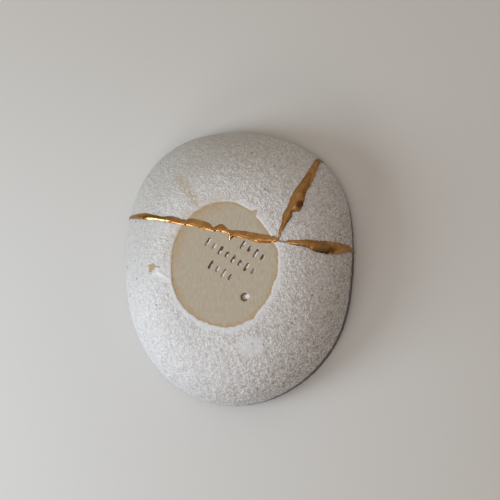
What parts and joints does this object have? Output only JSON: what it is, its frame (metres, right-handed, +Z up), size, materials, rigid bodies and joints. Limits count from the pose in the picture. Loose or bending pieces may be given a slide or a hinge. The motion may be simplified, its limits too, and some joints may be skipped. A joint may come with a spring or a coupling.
{
  "type": "kintsugi bowl",
  "caption": "Small hand-made oval stoneware bowl, broken and mended with raised gold seams, turned over on its rim with its flat bare foot upward.",
  "frame": {"origin": "centre of the rim's box, on the plane that the overturned bowl stands on", "axes": "+Z up from the rim towards the bare foot, which is the bowl's underside in use; +Y along the bowl's longer diameter, towards the end nearer the breaks; +X towards the small shard. Turned half a turn about X, the bowl stands on its foot to be used."},
  "size_m": [0.0921, 0.1089, 0.0286],
  "materials": {
    "glaze": "satin",
    "gold": "satin"
  },
  "bodies": {
    "root": {"shard_lower": "glaze", "shard_upper": "glaze", "shard_right": "glaze", "gold_seam": "gold"}
  },
  "joints": []
}
